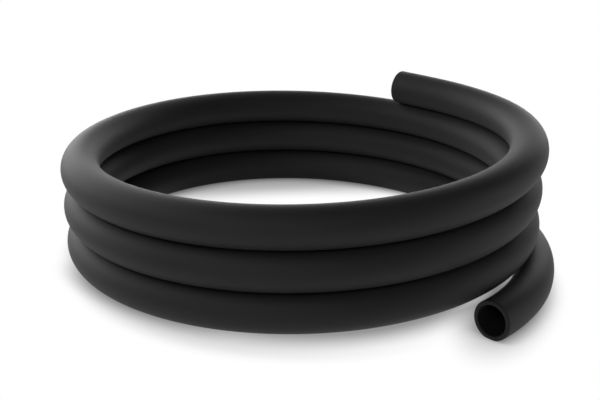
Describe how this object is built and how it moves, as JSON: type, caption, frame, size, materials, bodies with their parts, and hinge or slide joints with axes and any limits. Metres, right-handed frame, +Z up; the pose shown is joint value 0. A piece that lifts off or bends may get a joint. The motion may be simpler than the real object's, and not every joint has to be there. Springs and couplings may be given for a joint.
{
  "type": "soaker hose",
  "caption": "Bare length of porous rubber garden hose, cut square at both ends and lying in a stacked round coil.",
  "frame": {"origin": "middle of the part's box, on the floor that the coil lies on", "axes": "+Z up along the coil's axis; +X towards the side where the lower free end swings out from under the coil; -Y towards that free end's mouth"},
  "size_m": [0.2712, 0.2644, 0.0833],
  "materials": {
    "porous_rubber": "matt black recycled rubber, extruded, with a very fine open grain"
  },
  "bodies": {
    "root": {"lower_free_end": "porous_rubber", "coil": "porous_rubber", "upper_free_end": "porous_rubber"}
  },
  "joints": []
}
